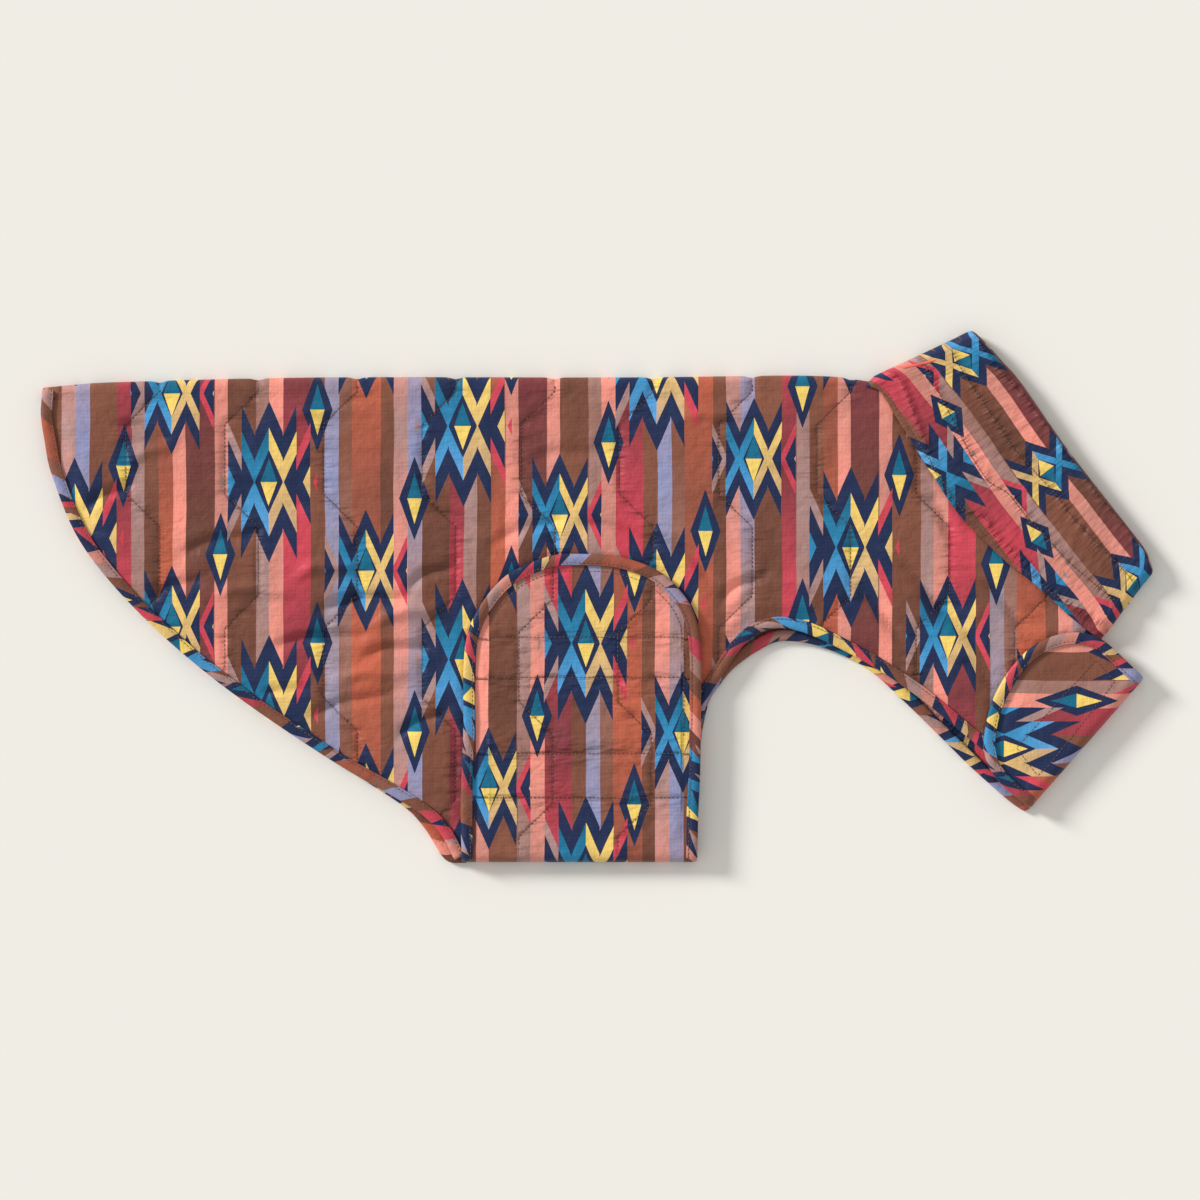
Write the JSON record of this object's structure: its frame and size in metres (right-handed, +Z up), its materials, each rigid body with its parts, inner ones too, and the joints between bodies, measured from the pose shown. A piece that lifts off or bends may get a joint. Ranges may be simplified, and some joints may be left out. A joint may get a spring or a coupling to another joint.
{
  "type": "dog winter coat",
  "caption": "Quilted winter coat for a dog, closed and laid flat on its side, with turned-down collar, belly band, chest strap and bound edges.",
  "frame": {"origin": "middle of the coat's footprint, on the surface it lies on", "axes": "+X from the tail to the collar, +Y towards the spine fold, +Z up from the surface"},
  "size_m": [0.6106, 0.2878, 0.012],
  "materials": {
    "quilted_print": "printed ripstop with a soft sheen, in warm stripes, lightly padded and quilted",
    "bias_binding": "the same printed ripstop cut on the bias, folded and topstitched"
  },
  "bodies": {
    "root": {"body_panel": "quilted_print", "belly_band": "quilted_print", "chest_strap": "quilted_print", "collar": "quilted_print", "binding_hem": "bias_binding", "binding_armhole_near": "bias_binding", "binding_armhole_far": "bias_binding", "binding_belly_band": "bias_binding", "binding_chest_strap": "bias_binding"}
  },
  "joints": []
}
